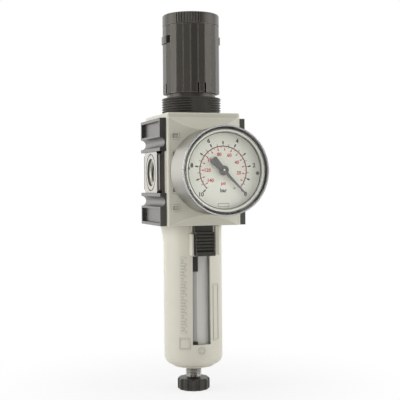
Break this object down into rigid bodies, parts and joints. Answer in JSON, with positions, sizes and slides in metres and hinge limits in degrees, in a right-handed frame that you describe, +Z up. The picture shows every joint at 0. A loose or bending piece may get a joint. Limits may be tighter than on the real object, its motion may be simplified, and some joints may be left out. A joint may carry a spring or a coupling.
{
  "type": "compressed air filter regulator",
  "caption": "Compressed air filter regulator with knob, threaded panel collar, two side ports, a round dial gauge, a guarded clear bowl with lock slide and a drain knob below.",
  "frame": {"origin": "on the bowl axis at the top face of the housing, where the threaded panel collar stands", "axes": "+Z up along the bowl axis towards the knob; -Y towards the gauge, +X towards the outlet port"},
  "size_m": [0.0526, 0.0964, 0.2273],
  "materials": {
    "housing_paint": "satin light warm grey coat on a zinc casting",
    "side_plastic": "matt black moulded",
    "nickel": "bright nickel plate",
    "screw_steel": "zinc plated",
    "bonnet_plastic": "matt black moulded",
    "knob_plastic": "matt black moulded, facets",
    "spring_steel": "drawn wire",
    "brass": "machined",
    "seal_rubber": "matt",
    "stem_plastic": "moulded",
    "filter_white": "porous sintered",
    "inner_black": "matt black moulded",
    "bowl_clear": "clear moulded",
    "guard_plastic": "satin cream grey moulded",
    "slide_plastic": "matt black moulded",
    "case_steel": "bright drawn case",
    "window_clear": "clear moulded",
    "dial_white": "printed sheet",
    "pointer_grey": "satin grey"
  },
  "bodies": {
    "housing_body": {"housing": "housing_paint", "lid": "housing_paint", "lid_screws": "screw_steel", "side_frame_right": "side_plastic", "side_frame_left": "side_plastic", "port_insert_right": "nickel", "port_insert_left": "nickel", "bonnet": "bonnet_plastic", "main_spring": "spring_steel", "diaphragm": "seal_rubber", "valve_seat": "brass", "valve_spring": "spring_steel", "filter_stud": "stem_plastic", "deflector": "inner_black", "filter_element": "filter_white", "baffle": "inner_black", "baffle_nut": "stem_plastic", "gauge_stem": "brass", "gauge_seal": "seal_rubber", "gauge_case": "case_steel", "gauge_window": "window_clear", "gauge_dial": "dial_white", "bourdon_tube": "brass", "movement_frame": "brass", "rear_plug": "nickel", "rear_plug_seal": "seal_rubber"},
    "screw_body": {"adjusting_screw": "screw_steel"},
    "knob_body": {"knob": "knob_plastic", "knob_cap": "knob_plastic"},
    "bar_body": {"lock_bar": "knob_plastic"},
    "nut_body": {"spring_nut": "brass"},
    "plate_body": {"diaphragm_plate": "stem_plastic"},
    "valve_body": {"valve_stem": "brass", "valve_disc": "seal_rubber"},
    "bowl_body": {"bowl_guard": "guard_plastic", "bowl": "bowl_clear", "bowl_seal": "seal_rubber", "lock_spring": "spring_steel", "drain_body": "nickel"},
    "slide_body": {"lock_slide": "slide_plastic"},
    "drain_lift_body": {"drain_seal": "seal_rubber"},
    "drain_turn_body": {"drain_spindle": "brass", "drain_knob": "slide_plastic"},
    "sector_body": {"sector_gear": "brass"},
    "pointer_body": {"gauge_pointer": "pointer_grey", "pointer_pinion": "brass"},
    "link_body": {"gauge_link": "brass"}
  },
  "joints": [
    {"name": "knob_turn", "type": "hinge", "parent": "housing_body", "child": "screw_body", "pos_m": [0, 0, 0.036], "axis": [0, 0, 1], "range_deg": [-1800, 0]},
    {"name": "knob_push", "type": "slide", "parent": "screw_body", "child": "knob_body", "axis": [0, 0, 1], "range_m": [-0.0022, 0]},
    {"name": "lock_bar_pull", "type": "slide", "parent": "knob_body", "child": "bar_body", "axis": [-1, 0, 0], "range_m": [0, 0.008]},
    {"name": "nut_travel", "type": "slide", "parent": "housing_body", "child": "nut_body", "axis": [0, 0, 1], "range_m": [-0.0075, 0], "deforming": ["main_spring"]},
    {"name": "plate_travel", "type": "slide", "parent": "housing_body", "child": "plate_body", "axis": [0, 0, 1], "range_m": [-0.0012, 0], "stiffness_N_per_m": 1500, "springref_m": 0.001, "deforming": ["diaphragm"]},
    {"name": "valve_travel", "type": "slide", "parent": "housing_body", "child": "valve_body", "axis": [0, 0, 1], "range_m": [-0.0012, 0], "deforming": ["valve_spring"]},
    {"name": "bowl_turn", "type": "hinge", "parent": "housing_body", "child": "bowl_body", "pos_m": [0, 0, -0.066], "axis": [0, 0, 1], "range_deg": [0, 40]},
    {"name": "lock_slide_pull", "type": "slide", "parent": "bowl_body", "child": "slide_body", "axis": [0, 0, 1], "range_m": [-0.0035, 0], "stiffness_N_per_m": 300, "springref_m": 0.002, "deforming": ["lock_spring"]},
    {"name": "drain_lift", "type": "slide", "parent": "bowl_body", "child": "drain_lift_body", "axis": [0, 0, 1], "range_m": [-0.0015, 0]},
    {"name": "drain_turn", "type": "hinge", "parent": "drain_lift_body", "child": "drain_turn_body", "pos_m": [0, 0, -0.16], "axis": [0, 0, 1], "range_deg": [-540, 0]},
    {"name": "sector_turn", "type": "hinge", "parent": "housing_body", "child": "sector_body", "pos_m": [0, -0.052, -0.048], "axis": [0, 1, 0], "range_deg": [0, 33.75], "stiffness_Nm_per_rad": 0.001, "springref_deg": -11.46},
    {"name": "pointer_turn", "type": "hinge", "parent": "housing_body", "child": "pointer_body", "pos_m": [0, -0.058, -0.0345], "axis": [0, 1, 0], "range_deg": [-270, 0]},
    {"name": "link_swing", "type": "hinge", "parent": "sector_body", "child": "link_body", "pos_m": [0, -0.053, -0.0448], "axis": [0, 1, 0], "range_deg": [-33.75, 0]}
  ],
  "couplings": [
    {"joint": "nut_travel", "follows": "knob_turn", "m_per_rad": 0.00023873},
    {"joint": "valve_travel", "follows": "plate_travel", "ratio": 1},
    {"joint": "drain_turn", "follows": "drain_lift", "rad_per_m": 6283.2},
    {"joint": "pointer_turn", "follows": "sector_turn", "ratio": -8},
    {"joint": "link_swing", "follows": "sector_turn", "ratio": -1}
  ]
}
